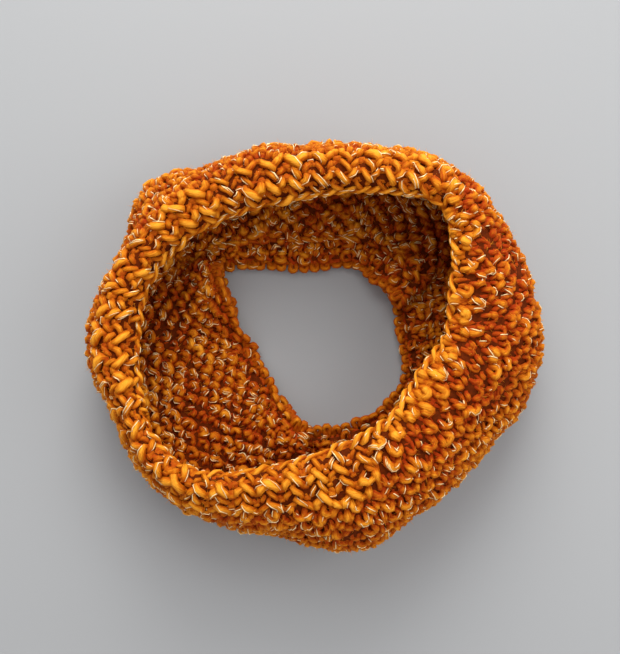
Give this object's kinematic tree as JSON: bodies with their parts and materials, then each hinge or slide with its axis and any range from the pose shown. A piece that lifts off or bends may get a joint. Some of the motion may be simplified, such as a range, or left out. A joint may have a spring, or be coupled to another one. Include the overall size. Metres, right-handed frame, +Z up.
{
  "type": "infinity scarf",
  "caption": "Chunky hand-knitted infinity scarf, one seamless tube lying as a ring with both edges turned in and its neck opening upward.",
  "frame": {"origin": "centre of the bounding box, on the ground plane that the scarf lies on", "axes": "+Z up out of the ring, +X along the ring's longer side"},
  "size_m": [0.2928, 0.2601, 0.0904],
  "materials": {
    "yarn_moss": "bulky wool-blend yarn in moss stitch, matt and hairy, with a gold metallic thread",
    "yarn_rib": "the same yarn in ribbed rows",
    "yarn_cast_on": "the same yarn, cast on as a rope of two strands",
    "yarn_bound_off": "the same yarn, bound off in loops"
  },
  "bodies": {
    "root": {"moss_body": "yarn_moss", "rib_band": "yarn_rib", "cast_on_edge": "yarn_cast_on", "bound_off_edge_top": "yarn_bound_off", "bound_off_edge_left": "yarn_bound_off", "bound_off_edge_right": "yarn_bound_off"}
  },
  "joints": []
}
